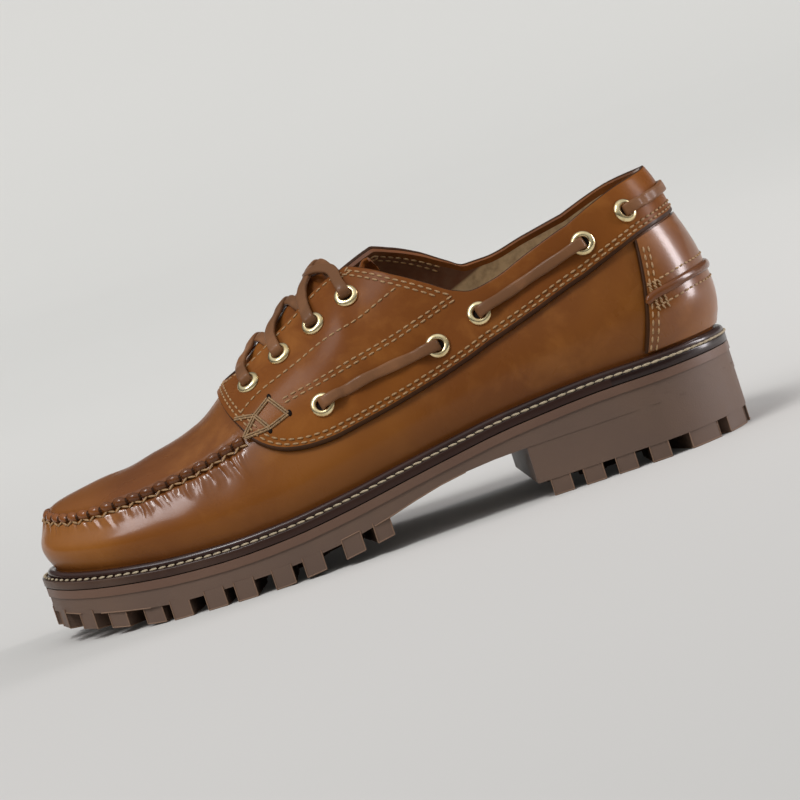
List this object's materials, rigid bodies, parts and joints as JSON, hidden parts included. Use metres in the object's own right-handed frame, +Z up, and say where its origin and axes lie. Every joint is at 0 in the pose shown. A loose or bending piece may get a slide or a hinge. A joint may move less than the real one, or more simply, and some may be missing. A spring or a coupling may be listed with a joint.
{
  "type": "camp moccasin",
  "caption": "Low hand-sewn leather moccasin with a saddle laced through eyelets all round the collar, on a thick lugged rubber sole with a heel.",
  "frame": {"origin": "middle of the shoe's length and width, on the floor", "axes": "+X from heel to toe, +Y to the outer (lateral) side of this left shoe, +Z up"},
  "size_m": [0.3078, 0.1154, 0.1219],
  "materials": {
    "rubber": "matte brown moulded rubber",
    "welt": "dark brown, waxed edge",
    "lining": "smooth brown lining leather",
    "leather": "glossy tan oiled leather",
    "tongue": "tan leather",
    "eyelets": "pale antique brass",
    "laces": "brown rawhide"
  },
  "bodies": {
    "root": {"outsole": "rubber", "welt": "welt", "insole": "lining", "upper": "leather", "tongue": "tongue", "saddle": "leather", "heel_counter": "leather", "heel_rib": "leather", "moc_seam": "leather", "eyelet_front_lateral_1": "eyelets", "eyelet_front_lateral_2": "eyelets", "eyelet_front_lateral_3": "eyelets", "eyelet_front_lateral_4": "eyelets", "eyelet_front_medial_1": "eyelets", "eyelet_front_medial_2": "eyelets", "eyelet_front_medial_3": "eyelets", "eyelet_front_medial_4": "eyelets", "eyelet_side_lateral_1": "eyelets", "eyelet_side_lateral_2": "eyelets", "eyelet_side_lateral_3": "eyelets", "eyelet_side_lateral_4": "eyelets", "eyelet_side_lateral_5": "eyelets", "eyelet_side_medial_1": "eyelets", "eyelet_side_medial_2": "eyelets", "eyelet_side_medial_3": "eyelets", "eyelet_side_medial_4": "eyelets", "eyelet_side_medial_5": "eyelets", "back_lace": "laces", "front_lace_1": "laces", "front_lace_2": "laces", "front_lace_3": "laces", "front_lace_4": "laces", "side_lace_lateral_1": "laces", "side_lace_lateral_2": "laces", "side_lace_medial_1": "laces", "side_lace_medial_2": "laces"}
  },
  "joints": []
}
